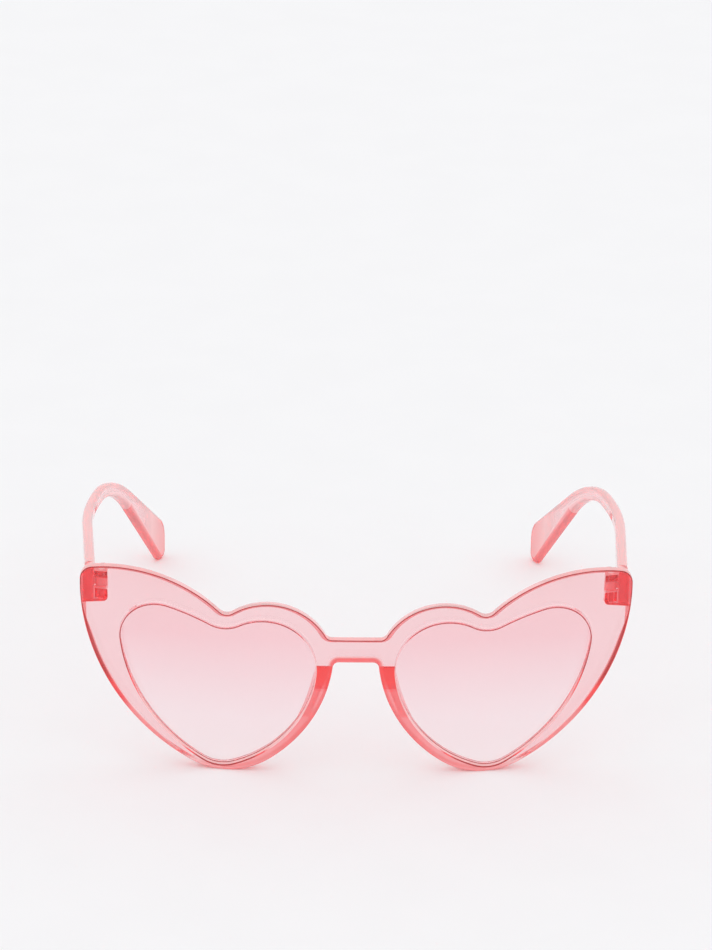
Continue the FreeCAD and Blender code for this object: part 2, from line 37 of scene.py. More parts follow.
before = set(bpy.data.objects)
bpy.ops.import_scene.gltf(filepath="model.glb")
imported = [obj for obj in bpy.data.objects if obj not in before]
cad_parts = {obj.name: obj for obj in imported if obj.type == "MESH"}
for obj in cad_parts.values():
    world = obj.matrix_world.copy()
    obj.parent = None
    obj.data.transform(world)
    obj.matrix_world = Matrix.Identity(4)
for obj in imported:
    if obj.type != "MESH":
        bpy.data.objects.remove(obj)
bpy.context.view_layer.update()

MM = 0.001
FRONT_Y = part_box("front_frame")[0].y

# Curved front
FRONT_RADIUS = 330.0
FRONT_THICKNESS = 3.4
FRONT_EDGE_ROUND = 0.22
REAR_EDGE_ROUND = 0.4
TOP_REAR_ROUND = 1.5

# Lens opening
LENS_TIP_X = 35.3
LENS_TIP_RADIUS = 9.3
LENS_NOSE_X = 10.4
LENS_NOSE_RADIUS = 32.2
LENS_OUTER_X = 62.5
LENS_SIDE_RADIUS = 45.7
LENS_CORNER_ROUND = 9.8
LENS_WING_X = 66.4
LENS_WING_TOP = 49.2
LENS_WING_RADIUS = 59.9
LENS_DIP_ROUND = 8.4
LENS_LOBE_TOP = 44.0
LENS_LOBE_RADIUS = 13.8
OPENING_ROUND = 0.28
OPENING_REAR_ROUND = 0.15

# Rim: its widths outside the lens opening, and how much larger its arcs are than the opening's
RIM_BOTTOM = 1.3
RIM_NOSE = 4.6
RIM_SIDE = 10.4
RIM_LOBE = 5.1
RIM_WING = 8.1
TIP_SHIFT = 1.0
TIP_GROWTH = 10.6
NOSE_GROWTH = 7.3
SIDE_GROWTH = 10.7
LOBE_GROWTH = 3.3
LOBE_X = 23.0
WING_X = 63.0
WING_RADIUS = 38.8
CORNER_ROUND = 3.9
NOTCH_ROUND = 2.8

# Bridge
BRIDGE_BOTTOM = 32.9
BRIDGE_HEIGHT = 6.4
BRIDGE_TOP_ROUND = 2.0
BRIDGE_BOTTOM_ROUND = 1.6

# Lens and the groove that holds it
LENS_SETBACK = 1.8
LENS_THICKNESS = 1.2
LENS_EDGE_ROUND = 0.15
GROOVE_DEPTH = 0.3
LENS_CLEARANCE = 0.05

# Nose pads
PAD_TOP = 30.6
PAD_HEIGHT = 14.9
PAD_EDGE = 0.4
PAD_DEPTH = 5.5
PAD_SPLAY = 1.9
PAD_HEAD_DEPTH = 0.6
PAD_RISE = 5.9
PAD_FOOT_DEPTH = 0.7
PAD_ROUND = 1.2

# End blocks and hinges
BLOCK_DROP = 1.4
BLOCK_HEIGHT = 11.2
BLOCK_DEPTH = 2.5
BLOCK_INSET = 0.4
BLOCK_ROUND = 3.0
BLOCK_CORNER = 0.45
BLOCK_EDGE_ROUND = 0.3
BLOCK_RISE = 0.5
LUG_ROUND = 1.3
LUG_RISE = 1.6
HINGE_INSET = 5.9
KNUCKLE_RADIUS = 1.6
LOWER_LUG_HEIGHT = 5.0
KNUCKLE_HEIGHT = 2.9
UPPER_LUG_HEIGHT = 1.9
KNUCKLE_GAP = 0.1
WEB_DEPTH = 2.2
JOINT_GAP = 0.1

# Overlap of joined shapes, and what is drawn past an end that is cut off
EMBED = 0.8
TRIM = 5.0

# Hinge screws
SCREW_RADIUS = 0.7
SCREW_CLEARANCE = 0.05
HEAD_RADIUS = 1.15
HEAD_HEIGHT = 0.8
HEAD_ROUND = 0.2
SLOT_WIDTH = 0.35
SLOT_DEPTH = 0.4

# Temples, angles in degrees
ARM_INSET = 1.1
ARM_THICKNESS = 2.8
ARM_SPLAY = 3.7
TEMPLE_REACH = 137.0
EAR_SWEEP = 57.0
EAR_TURN = 22.9
EAR_TURN_RADIUS = 147.0
TIP_THICKNESS = 2.2
ARM_HEIGHT = 4.3
ARM_TAPER = 34.0
ARM_SLOPE = 8.6
TAPER_ROUND = 60.0
EAR_SLOPE = 39.9
EAR_UNDER_SLOPE = 48.3
BEND_TOP_ROUND = 57.0
BEND_UNDER_ROUND = 41.0
TIP_HEIGHT = 10.6
TIP_FLAT = 0.6
TIP_ROUND = 2.2
TIP_TOP_ROUND = 8.6
ARM_END_ROUND = 1.5
ARM_EDGE_ROUND = 1.1

# Tones of painted shade: how deep the painted coral runs in a face, from clear at 0 to a painted dark line at
# 1. The coral stands in for light seen edgewise through the plastic, and the dark lines for edges that show
# dark surroundings
SLIGHT_SHADE = 0.05
FAINT = 0.15
ROSE = 0.18
EAR_ROSE = 0.26
BLOCK_ROSE = 0.29
SALMON = 0.33
RIM_CORAL = 0.41
CORAL = 0.43
FULL_CORAL = 0.5
RED = 0.72
CRIMSON = 0.88
LINE = 0.9

# Painted coral shade band along the front's lower edges, and its strips as (share of the width, share of the
# tone)
EDGE_BAND = 1.0
BRIDGE_BAND = 1.7
POINT_BAND = 0.45
SIDE_LINE = 0.04
POINT_RISE = 14.0
BAND_TOP = 48.0
BAND_RISE = 12.0
INNER_STRIPS = ((1.0, 0.5), (0.75, 0.85), (0.5, 1.0))
OUTER_STRIPS = ((1.0, 0.4), (0.75, 1.0), (0.5, 1.0))

# Painted shade on the slim rim on the nose side and round the heart's point
NOSE_TOP = 31.5
NOSE_RED = 4.0
NOSE_FADE = 3.5
POINT_TOP = 5.0

# Painted dark line round the lens opening
LENS_LINE = 0.35
FRONT_LINE_TOP = 3.5
FRONT_LINE_FADE = 4.0

# Painted light and shade on the end blocks and temples
BLOCK_PALE = 1.3
ARM_SHADE = 0.5
EAR_SHADE = 2.8
EAR_START = 100.0
EAR_RISE = 20.0
EAR_END = 129.0
EAR_FADE = 2 * TIP_HEIGHT
SHADE_STEPS = 5

# Turns of an edge at which its tones change, as shares of the direction that leads out of it
BAND_TURN = 0.4
BAND_TURN_RISE = 0.5
FACING_FROM = 0.25
FACING_RISE = 0.3
NOSE_SIDE_FROM = 0.6
NOSE_SIDE_RISE = 0.25
UNDERSIDE = 0.5

# Places worked out from these
OUTER_X = LENS_OUTER_X + RIM_SIDE
WING_TOP = LENS_WING_TOP + RIM_WING
TIP_X = LENS_TIP_X - TIP_SHIFT
TIP_RADIUS = LENS_TIP_RADIUS + TIP_GROWTH
NOSE_RADIUS = LENS_NOSE_RADIUS + NOSE_GROWTH
SIDE_RADIUS = LENS_SIDE_RADIUS + SIDE_GROWTH
LOBE_RADIUS = LENS_LOBE_RADIUS + LOBE_GROWTH
BRIDGE_TOP = BRIDGE_BOTTOM + BRIDGE_HEIGHT
BLOCK_TOP = WING_TOP - BLOCK_DROP
BLOCK_BOTTOM = BLOCK_TOP - BLOCK_HEIGHT
BLOCK_OUTER_X = OUTER_X - BLOCK_INSET
HINGE_X = OUTER_X - HINGE_INSET
ARM_OUTER_X = OUTER_X - ARM_INSET
ARM_INNER_X = ARM_OUTER_X - ARM_THICKNESS / math.cos(math.radians(ARM_SPLAY))
BLOCK_SEAT_Y = FRONT_RADIUS - math.sqrt((FRONT_RADIUS - FRONT_THICKNESS) ** 2 - HINGE_X ** 2) - EMBED
HINGE_Y = BLOCK_SEAT_Y + EMBED + BLOCK_DEPTH
ARM_Y = HINGE_Y + JOINT_GAP
LUG_BOTTOM = BLOCK_BOTTOM + LUG_RISE
LOWER_LUG_TOP = BLOCK_BOTTOM + LOWER_LUG_HEIGHT
KNUCKLE_BOTTOM = LOWER_LUG_TOP + KNUCKLE_GAP
KNUCKLE_TOP = KNUCKLE_BOTTOM + KNUCKLE_HEIGHT
UPPER_LUG_BOTTOM = KNUCKLE_TOP + KNUCKLE_GAP
UPPER_LUG_TOP = UPPER_LUG_BOTTOM + UPPER_LUG_HEIGHT
HEAD_SEAT = UPPER_LUG_TOP - HEAD_HEIGHT

# Fineness of the meshes
ARC_STEP = 0.8
ARC_TURN = math.radians(6)
ROUND_STEPS = 5
PAD_ROUND_STEPS = 4
BLOCK_ROUND_STEPS = 3
ROD_SIDES = 48
SLICE = 3.0
FLAT_MARGIN = 0.05
SHARP_ANGLE = math.radians(32)
MERGE = 0.0005
CUT_MERGE = MERGE / 10

# Shares of a face's normal along one direction, by which faces are picked
BLOCK_UPWARD = 0.05
PAD_UPWARD = 0.2
EDGEWISE = 0.5
STRAIGHT = 0.9


# Outlines of tangent arcs

Arc = namedtuple("Arc", "x z radius hollow")
Move = namedtuple("Move", "centre angle shift steps")
UP = Vector((0, 1))
RIGHT = Vector((1, 0))


def joint(a, b):
    """Directions from the centres of two tangent arcs to the point where they touch."""
    line = Vector((b.x - a.x, b.z - a.z)).normalized()
    if a.hollow != b.hollow:
        return line, -line
    if a.radius > b.radius:
        return line, line
    return -line, -line


def crossing(a, reach_a, b, reach_b, side):
    """The point at two distances from two arcs' centres, on the side that lies towards a direction."""
    line = Vector((b.x - a.x, b.z - a.z))
    along = (reach_a ** 2 - reach_b ** 2 + line.length ** 2) / (2 * line.length)
    across = math.sqrt(reach_a ** 2 - along ** 2)
    unit = line.normalized()
    middle = Vector((a.x, a.z)) + unit * along
    normal = Vector((-unit.y, unit.x)) * across
    return max(middle + normal, middle - normal, key=lambda place: place.dot(side))


def fillet(a, b, radius, hollow, side):
    """A small arc that rounds the corner between two arcs."""
    grow = radius if hollow else -radius
    place = crossing(a, a.radius + grow, b, b.radius + grow, side)
    return Arc(place.x, place.y, radius, hollow)


def arc_steps(angle, radius):
    """How many steps an arc is drawn in."""
    return max(math.ceil(abs(angle) * radius / ARC_STEP), math.ceil(abs(angle) / ARC_TURN), 1)


def turn(arc, start, end):
    """The move along an arc from one direction to another."""
    angle = math.atan2(end.y, end.x) - math.atan2(start.y, start.x)
    angle = -(-angle % math.tau) if arc.hollow else angle % math.tau
    return Move(Vector((arc.x, arc.z)), angle, None, arc_steps(angle, arc.radius))


def run(shift):
    """The move along a straight stretch."""
    return Move(None, 0, shift, 1)


def follow(arcs, first, last):
    """The moves along a chain of tangent arcs, from one direction to another."""
    arrivals = [first]
    departures = []
    for a, b in zip(arcs, arcs[1:]):
        leave, arrive = joint(a, b)
        departures.append(leave)
        arrivals.append(arrive)
    departures.append(last)
    return [turn(arc, start, end) for arc, start, end in zip(arcs, arrivals, departures)]


def heart_point(tip_x, tip_radius, bottom, nose_x, nose_radius, side_x, side_radius):
    """The nose side, point and outer side arcs of a heart."""
    tip = Arc(tip_x, bottom + tip_radius, tip_radius, False)
    sides = []
    for x, radius in ((nose_x, nose_radius), (side_x, side_radius)):
        rise = math.sqrt((radius - tip_radius) ** 2 - (x - tip_x) ** 2)
        sides.append(Arc(x, tip.z + rise, radius, False))
    return sides[0], tip, sides[1]


def lens_heart():
    """The lens opening, from the nose side down, round and back: its arcs in order."""
    nose, tip, side = heart_point(LENS_TIP_X, LENS_TIP_RADIUS, RIM_BOTTOM,
                                  LENS_NOSE_X + LENS_NOSE_RADIUS, LENS_NOSE_RADIUS,
                                  LENS_OUTER_X - LENS_SIDE_RADIUS, LENS_SIDE_RADIUS)
    wing = Arc(LENS_WING_X, LENS_WING_TOP - LENS_WING_RADIUS, LENS_WING_RADIUS, False)
    lobe_z = LENS_LOBE_TOP - LENS_LOBE_RADIUS
    reach = math.sqrt((nose.radius - LENS_LOBE_RADIUS) ** 2 - (lobe_z - nose.z) ** 2)
    lobe = Arc(nose.x - reach, lobe_z, LENS_LOBE_RADIUS, False)
    corner = fillet(wing, side, LENS_CORNER_ROUND, False, RIGHT)
    dip = fillet(lobe, wing, LENS_DIP_ROUND, True, UP)
    return [nose, tip, side, corner, wing, dip, lobe]


def rim_edge():
    """The front's outer edge on one side, from under the bridge round to its top."""
    nose, tip, side = heart_point(TIP_X, TIP_RADIUS, 0, LENS_NOSE_X - RIM_NOSE + NOSE_RADIUS,
                                  NOSE_RADIUS, OUTER_X - SIDE_RADIUS, SIDE_RADIUS)
    wing = Arc(WING_X, WING_TOP - WING_RADIUS, WING_RADIUS, False)
    lobe = Arc(LOBE_X, LENS_LOBE_TOP + RIM_LOBE - LOBE_RADIUS, LOBE_RADIUS, False)
    corner = fillet(wing, side, CORNER_ROUND, False, RIGHT)
    notch = fillet(lobe, wing, NOTCH_ROUND, True, UP)
    over_z = BRIDGE_TOP + BRIDGE_TOP_ROUND
    across = math.sqrt((LOBE_RADIUS + BRIDGE_TOP_ROUND) ** 2 - (over_z - lobe.z) ** 2)
    over = Arc(lobe.x - across, over_z, BRIDGE_TOP_ROUND, True)
    under_z = BRIDGE_BOTTOM - BRIDGE_BOTTOM_ROUND
    across = math.sqrt((NOSE_RADIUS + BRIDGE_BOTTOM_ROUND) ** 2 - (under_z - nose.z) ** 2)
    under = Arc(nose.x - across, under_z, BRIDGE_BOTTOM_ROUND, True)
    return [under, nose, tip, side, corner, wing, notch, lobe, over]


def rounded_polygon(corners):
    """The start and the moves round a polygon of (x, z, round), from the middle of its last side."""
    points = [Vector((x, z)) for x, z, radius in corners]
    count = len(points)
    start = (points[-1] + points[0]) / 2
    place = start
    moves = []
    for i, (x, z, radius) in enumerate(corners):
        back = (points[i - 1] - points[i]).normalized()
        ahead = (points[(i + 1) % count] - points[i]).normalized()
        half = back.angle(ahead) / 2
        arrive = points[i] + back * (radius / math.tan(half))
        leave = points[i] + ahead * (radius / math.tan(half))
        centre = points[i] + (back + ahead).normalized() * (radius / math.sin(half))
        hollow = ahead.x * back.y - ahead.y * back.x < 0
        moves.append(run(arrive - place))
        arc = Arc(centre.x, centre.y, radius, hollow)
        moves.append(turn(arc, arrive - centre, leave - centre))
        place = leave
    moves.append(run(start - place))
    return start, moves


def stations(start, normal, moves):
    """Points along an outline, each with the direction that leads out of it."""
    place, out = start, normal
    yield place, out
    for move in moves:
        if move.centre is None:
            place = place + move.shift
            yield place, out
            continue
        step = Matrix.Rotation(move.angle / move.steps, 2)
        for i in range(move.steps):
            place = move.centre + step @ (place - move.centre)
            out = step @ out
            yield place, out


# Mesh helpers

def part_way(start, end, share):
    """The value that lies a share of the way from one value to another."""
    return start + (end - start) * share


def smooth(share):
    """Ease a share in and out between 0 and 1."""
    share = min(max(share, 0), 1)
    return share * share * (3 - 2 * share)


def quarter_round(radius):
    """A quarter round's points, as (distance in from the edge, depth), from the face to the wall."""
    for i in range(ROUND_STEPS + 1):
        a = math.pi / 2 * i / ROUND_STEPS
        yield radius * (1 - math.sin(a)), radius * (1 - math.cos(a))


def rounded_edge(front_round, rear_round, thickness, front_tone=0.0, wall_tone=0.0, rear_tone=0.0):
    """An outer edge's section from front to rear, as (distance outwards, depth, tone)."""
    section = [(-front_round - FLAT_MARGIN, 0, 0)]
    section += [(-inset, depth, front_tone) for inset, depth in quarter_round(front_round)]
    section[-1] = (0, front_round, wall_tone)
    rear = [(-inset, thickness - depth, rear_tone) for inset, depth in quarter_round(rear_round)]
    section += reversed(rear)
    section.append((-rear_round - FLAT_MARGIN, thickness, 0))
    return section


def new_mesh():
    """An empty mesh whose faces hold their tone of painted shade, called painted_shade, and whose points
    their place in a section.
    """
    bm = bmesh.new()
    bm.faces.layers.float.new("painted_shade")
    bm.verts.layers.int.new("rank")
    return bm


def set_painted_shade(bm, faces, tone):
    """Give faces a tone of painted shade."""
    painted_shade = bm.faces.layers.float["painted_shade"]
    for face in faces:
        face[painted_shade] = tone


def whole(bm):
    """All the points, edges and faces of a mesh."""
    return bm.verts[:] + bm.edges[:] + bm.faces[:]


def only(geom, kind):
    """The points, edges or faces among what an operator made."""
    return [g for g in geom if isinstance(g, kind)]


def face_outwards(bm):
    """Turn the faces outwards."""
    bmesh.ops.recalc_face_normals(bm, faces=bm.faces[:])


def sweep(bm, start, normal, moves, section_at):
    """Carry an edge section along an outline, which lies in x and z with depth along y. At each place the
    section is a list of (distance outwards, depth, tone of the face that follows)."""
    rank = bm.verts.layers.int["rank"]
    painted_shade = bm.faces.layers.float["painted_shade"]
    edges = []
    for place, out in stations(start, normal, moves):
        section = section_at(place, out)
        tones = [tone for reach, depth, tone in section]
        if edges:
            grown = bmesh.ops.extrude_edge_only(bm, edges=edges)["geom"]
            verts = sorted(only(grown, BMVert), key=lambda v: v[rank])
            edges = only(grown, BMEdge)
            for face in only(grown, BMFace):
                face[painted_shade] = tones[min(v[rank] for v in face.verts)]
        else:
            verts = [bm.verts.new() for point in section]
            edges = [bm.edges.new(pair) for pair in zip(verts, verts[1:])]
        for i, (v, (reach, depth, tone)) in enumerate(zip(verts, section)):
            at = place + out * reach
            v.co = (at.x, depth, at.y)
            v[rank] = i
    bmesh.ops.remove_doubles(bm, verts=bm.verts[:], dist=MERGE)


def sweep_opening(bm, section_at):
    """Carry an edge section round the lens opening."""
    arcs = lens_heart()
    leave, arrive = joint(arcs[-1], arcs[0])
    start = Vector((arcs[0].x, arcs[0].z)) + arrive * arcs[0].radius
    sweep(bm, start, arrive, follow(arcs, arrive, leave), section_at)


def close_face(bm, depth):
    """Fill the flat face at a depth, with its holes left open."""
    edges = [e for e in bm.edges if len(e.link_faces) < 2
             and all(abs(v.co.y - depth) < MERGE for v in e.verts)]
    bmesh.ops.triangle_fill(bm, use_beauty=True, use_dissolve=False, edges=edges, normal=(0, 1, 0))


def cut_across(bm, geom, place, normal):
    """Cut faces in two along a plane."""
    bmesh.ops.bisect_plane(bm, geom=geom, dist=CUT_MERGE, plane_co=place, plane_no=normal)


def cut_behind(bm, place, normal):
    """Cut away what lies on a plane's far side, and close the cut."""
    cut = bmesh.ops.bisect_plane(bm, geom=whole(bm), dist=MERGE, plane_co=place, plane_no=normal,
                                 clear_outer=True)
    bmesh.ops.holes_fill(bm, edges=only(cut["geom_cut"], BMEdge))
    face_outwards(bm)


def slice_along_x(bm, start, end, width=SLICE):
    """Cut the faces into strips, so that they can be bent."""
    count = math.ceil((end - start) / width)
    for i in range(1, count):
        cut_across(bm, whole(bm), (start + (end - start) * i / count, 0, 0), (1, 0, 0))


def round_off(bm, edges, radius, steps):
    """Round some edges off."""
    bmesh.ops.bevel(bm, geom=edges, offset=radius, segments=steps, profile=0.5, affect="EDGES", material=-1)


def bend_to_front(bm):
    """Turn depths into places behind the curved front."""
    for v in bm.verts:
        v.co.y = FRONT_RADIUS - math.sqrt((FRONT_RADIUS - v.co.y) ** 2 - v.co.x ** 2)


def add_mirror_half(bm):
    """Add the other side across the middle plane and weld the two together."""
    bmesh.ops.mirror(bm, geom=whole(bm), matrix=Matrix.Identity(4), merge_dist=MERGE, axis="X")


def link_mesh(bm, name):
    """A new object in the scene that takes a mesh over."""
    mesh = bpy.data.meshes.new(name)
    bm.to_mesh(mesh)
    bm.free()
    obj = bpy.data.objects.new(name, mesh)
    bpy.context.scene.collection.objects.link(obj)
    return obj


def as_object(bm, name):
    """A mesh object in millimetres, with its faces pointing outwards."""
    face_outwards(bm)
    if bm.calc_volume(signed=True) < 0:
        bmesh.ops.reverse_faces(bm, faces=bm.faces[:])
    return link_mesh(bm, name)


def other_side(obj, name):
    """A mirror image of a left piece."""
    bm = bmesh.new()
    bm.from_mesh(obj.data)
    bmesh.ops.scale(bm, verts=bm.verts[:], vec=(-1, 1, 1))
    bmesh.ops.reverse_faces(bm, faces=bm.faces[:])
    return link_mesh(bm, name)


def carve(obj, tool, operation):
    """Join a tool's solid to an object or cut it out, and drop the tool."""
    modifier = obj.modifiers.new("carve", "BOOLEAN")
    modifier.operation = operation
    modifier.solver = "MANIFOLD"
    modifier.object = tool
    graph = bpy.context.evaluated_depsgraph_get()
    mesh = bpy.data.meshes.new_from_object(obj.evaluated_get(graph))
    obj.modifiers.clear()
    obj.data = mesh
    bpy.data.objects.remove(tool)


def box(name, low, high, tone=0.0):
    """A box between two corners."""
    bm = new_mesh()
    bmesh.ops.create_cube(bm, size=1)
    bmesh.ops.scale(bm, verts=bm.verts[:], vec=Vector(high) - Vector(low))
    bmesh.ops.translate(bm, verts=bm.verts[:], vec=(Vector(low) + Vector(high)) / 2)
    set_painted_shade(bm, bm.faces, tone)
    return as_object(bm, name)


def hinge_rod(name, radius, bottom, top, tone):
    """An upright cylinder about the hinge's axis."""
    bm = new_mesh()
    bmesh.ops.create_cone(bm, cap_ends=True, segments=ROD_SIDES, radius1=radius, radius2=radius,
                          depth=top - bottom)
    bmesh.ops.translate(bm, verts=bm.verts[:], vec=(HINGE_X, HINGE_Y, (top + bottom) / 2))
    set_painted_shade(bm, bm.faces, tone)
    return as_object(bm, name)


def settle(obj, body, node, material):
    """Set a piece into the frame in metres, with smooth faces, its finish, its body and its node."""
    obj.data.transform(Matrix.Translation((0, FRONT_Y, 0)) @ Matrix.Scale(MM, 4))
    obj.data.shade_smooth()
    obj.data.set_sharp_from_angle(angle=SHARP_ANGLE)
    obj.data.materials.clear()
    obj.data.materials.append(material)
    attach(obj, body)
    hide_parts(node)


# Nose pads

def make_opening_cutter():
    """A solid heart through the lens opening, to trim what stands behind the rim."""
    bm = new_mesh()
    reach = PAD_DEPTH + FRONT_THICKNESS
    section = [(0, -reach, 0), (0, 2 * reach, 0)]
    sweep_opening(bm, lambda place, out: section)
    close_face(bm, -reach)
    close_face(bm, 2 * reach)
    return as_object(bm, "opening")


def pad_edge_x(height):
    """The nose side edge of a nose pad at a height."""
    nose = rim_edge()[1]
    return nose.x - math.sqrt(nose.radius ** 2 - (height - nose.z) ** 2) + PAD_EDGE


def make_nose_pad():
    """The left nose pad, with a flat splayed face and a rear that swells out and slopes back to its foot."""
    head = pad_edge_x(PAD_TOP)
    foot = pad_edge_x(PAD_TOP - PAD_HEIGHT)
    rear = FRONT_THICKNESS + PAD_DEPTH
    seat = FRONT_THICKNESS - EMBED
    across = head + RIM_NOSE + TRIM
    plan = ((head, seat), (across, seat), (across, rear), (head + PAD_SPLAY, rear), (head, FRONT_THICKNESS))
    bm = new_mesh()
    face = bm.faces.new([bm.verts.new((x, y, PAD_TOP)) for x, y in plan])
    grown = bmesh.ops.extrude_face_region(bm, geom=[face])
    bmesh.ops.translate(bm, verts=only(grown["geom"], BMVert), vec=(foot - head, 0, -PAD_HEIGHT))
    face_outwards(bm)
    crest = (0, rear, PAD_TOP - PAD_RISE)
    cut_behind(bm, crest, Vector((0, PAD_RISE, PAD_DEPTH - PAD_HEAD_DEPTH)))
    cut_behind(bm, crest, Vector((0, PAD_HEIGHT - PAD_RISE, PAD_FOOT_DEPTH - PAD_DEPTH)))
    behind = [e for e in bm.edges if max(v.co.y for v in e.verts) > rear - MERGE]
    round_off(bm, behind, PAD_ROUND, PAD_ROUND_STEPS)
    face_outwards(bm)
    # Painted shade: salmon all over the pad, and deeper coral on its faces that look up
    set_painted_shade(bm, bm.faces, SALMON)
    set_painted_shade(bm, [f for f in bm.faces if f.normal.z > PAD_UPWARD], CORAL)
    pad = as_object(bm, "nose_pad")
    carve(pad, make_opening_cutter(), "DIFFERENCE")
    return pad


# End blocks

def make_upper_lug():
    """The upper hinge lug: a web from the front with a round end about the screw."""
    bm = new_mesh()
    left = HINGE_X - KNUCKLE_RADIUS
    right = ARM_INNER_X + EMBED
    bottom = UPPER_LUG_BOTTOM
    first = bm.verts.new((left, HINGE_Y, bottom))
    arc = bmesh.ops.spin(bm, geom=[first], cent=(HINGE_X, HINGE_Y, bottom), axis=(0, 0, -1),
                         angle=math.pi, steps=ROD_SIDES // 2, use_duplicate=False)
    plan = only(arc["geom_last"], BMVert)
    for x, y in ((right, HINGE_Y), (right, BLOCK_SEAT_Y), (left, BLOCK_SEAT_Y)):
        plan.append(bm.verts.new((x, y, bottom)))
    plan.append(first)
    for pair in zip(plan, plan[1:]):
        bm.edges.new(pair)
    bmesh.ops.contextual_create(bm, geom=bm.edges[:])
    grown = bmesh.ops.extrude_face_region(bm, geom=bm.faces[:])
    bmesh.ops.translate(bm, verts=only(grown["geom"], BMVert), vec=(0, 0, UPPER_LUG_HEIGHT))
    # Painted salmon shade on the upper lug
    set_painted_shade(bm, bm.faces, SALMON)
    return as_object(bm, "upper_lug")


def make_end_block():
    """The left end block with its two hinge lugs, the screw hole and the seat of the screw's head."""
    web_x = HINGE_X - KNUCKLE_RADIUS
    corners = (
        (web_x, LUG_BOTTOM, LUG_ROUND),
        (BLOCK_OUTER_X, BLOCK_BOTTOM + BLOCK_RISE, BLOCK_CORNER),
        (BLOCK_OUTER_X, BLOCK_TOP, BLOCK_ROUND),
        (ARM_INNER_X, BLOCK_TOP, BLOCK_CORNER),
        (ARM_INNER_X, LOWER_LUG_TOP, BLOCK_CORNER),
        (web_x, LOWER_LUG_TOP, BLOCK_CORNER),
    )
    start, moves = rounded_polygon(corners)
    bm = new_mesh()
    section = [(0, BLOCK_SEAT_Y, 0), (0, HINGE_Y, 0)]
    sweep(bm, start, -RIGHT, moves, lambda place, out: section)
    close_face(bm, BLOCK_SEAT_Y)
    close_face(bm, HINGE_Y)
    face_outwards(bm)
    rear = [e for e in bm.edges if all(abs(v.co.y - HINGE_Y) < MERGE for v in e.verts)
            and any(abs(f.normal.y) < EDGEWISE for f in e.link_faces)]
    round_off(bm, rear, BLOCK_EDGE_ROUND, BLOCK_ROUND_STEPS)
    # Painted shade: rose all over the block, painted paler on the faces that look up and along its top
    pale_from = BLOCK_TOP - BLOCK_PALE
    cut_across(bm, whole(bm), (0, 0, pale_from), (0, 0, 1))
    set_painted_shade(bm, bm.faces, BLOCK_ROSE)
    pale = [f for f in bm.faces if f.normal.z > BLOCK_UPWARD or f.calc_center_median().z > pale_from]
    set_painted_shade(bm, pale, FAINT)
    block = as_object(bm, "end_block")
    # The lower lug gets painted coral shade, and so do the walls of the screw hole and of the head's seat
    carve(block, hinge_rod("lower_lug", KNUCKLE_RADIUS, LUG_BOTTOM, LOWER_LUG_TOP, CORAL), "UNION")
    carve(block, make_upper_lug(), "UNION")
    hole = hinge_rod("hole", SCREW_RADIUS + SCREW_CLEARANCE, BLOCK_BOTTOM, BLOCK_TOP, CORAL)
    carve(block, hole, "DIFFERENCE")
    seat = hinge_rod("seat", HEAD_RADIUS + SCREW_CLEARANCE, HEAD_SEAT, BLOCK_TOP, CORAL)
    carve(block, seat, "DIFFERENCE")
    return block


# Front

def slim_rim_share(x, z):
    """How far a place belongs to the slim part of the rim, on the nose side and round the heart's point."""
    if x < LENS_TIP_X:
        return 1.0 if z < NOSE_TOP else 0.0
    return smooth((POINT_TOP - z) / POINT_TOP)


def slim_rim_tone(z):
    """The slim rim's painted shade at a height: deep red over the pad's head, coral below it, paler at the
    point.
    """
    below = part_way(SALMON, RIM_CORAL, smooth(z / POINT_RISE))
    return part_way(RED, below, smooth((NOSE_TOP - NOSE_RED - z) / NOSE_FADE))


def front_edge_at(place, out):
    """The front's edge at a place on its outline. Along the lower edges it has a painted coral shade band,
    which is wide under the bridge and slim at the heart's point, and along the top a fine painted dark line."""
    wide = part_way(EDGE_BAND, BRIDGE_BAND, max(-out.y, 0))
    width = part_way(POINT_BAND, wide, smooth(place.y / POINT_RISE))
    share = smooth((BAND_TURN - out.y) / BAND_TURN_RISE) * smooth((BAND_TOP - place.y) / BAND_RISE)
    if place.x > LENS_TIP_X:
        strips = OUTER_STRIPS
        band = part_way(SALMON, CRIMSON, smooth((place.y - POINT_RISE) / POINT_RISE))
        width = part_way(SIDE_LINE, width, share)
    else:
        strips = INNER_STRIPS
        share = share * smooth((BRIDGE_TOP - place.y) / BRIDGE_BAND)
        band = CORAL * share
    slim = slim_rim_share(place.x, place.y)
    rim = slim_rim_tone(place.y)
    line = part_way(LINE, min(band, CORAL), share)
    rear_round = part_way(TOP_REAR_ROUND, REAR_EDGE_ROUND, share)
    wall = part_way(ROSE, SALMON, share)
    section = []
    for inset, strength in strips:
        section.append((-FRONT_EDGE_ROUND - width * inset, 0, part_way(band * strength, rim, slim)))
    section += rounded_edge(FRONT_EDGE_ROUND, rear_round, FRONT_THICKNESS, line, wall, wall)[1:]
    return section


def opening_edge_at(place, out):
    """The lens opening's edge: a fine painted dark line in front, then the groove that holds the lens. Up the
    sides from the heart's point, where the wall faces up, the painted line lies along the lens instead, and
    on the nose side it fades."""
    facing = smooth((-out.y - FACING_FROM) / FACING_RISE)
    raised = smooth((place.y - FRONT_LINE_TOP) / FRONT_LINE_FADE)
    nose_side = smooth((-out.x - NOSE_SIDE_FROM) / NOSE_SIDE_RISE)
    front_line = part_way(LINE, ROSE, max(facing * raised, nose_side))
    wall = FAINT * facing
    lens_line = LINE * facing
    groove_front = LENS_SETBACK - LENS_CLEARANCE
    groove_rear = LENS_SETBACK + LENS_THICKNESS + LENS_CLEARANCE
    edge = rounded_edge(OPENING_ROUND, OPENING_REAR_ROUND, FRONT_THICKNESS, front_line, wall, FAINT)
    edge = [(-reach, depth, tone) for reach, depth, tone in edge]
    half = len(edge) // 2
    groove = [(0, groove_front - LENS_LINE, lens_line), (0, groove_front, 0), (GROOVE_DEPTH, groove_front, 0),
              (GROOVE_DEPTH, groove_rear, 0), (0, groove_rear, 0)]
    return edge[:half] + groove + edge[half:]


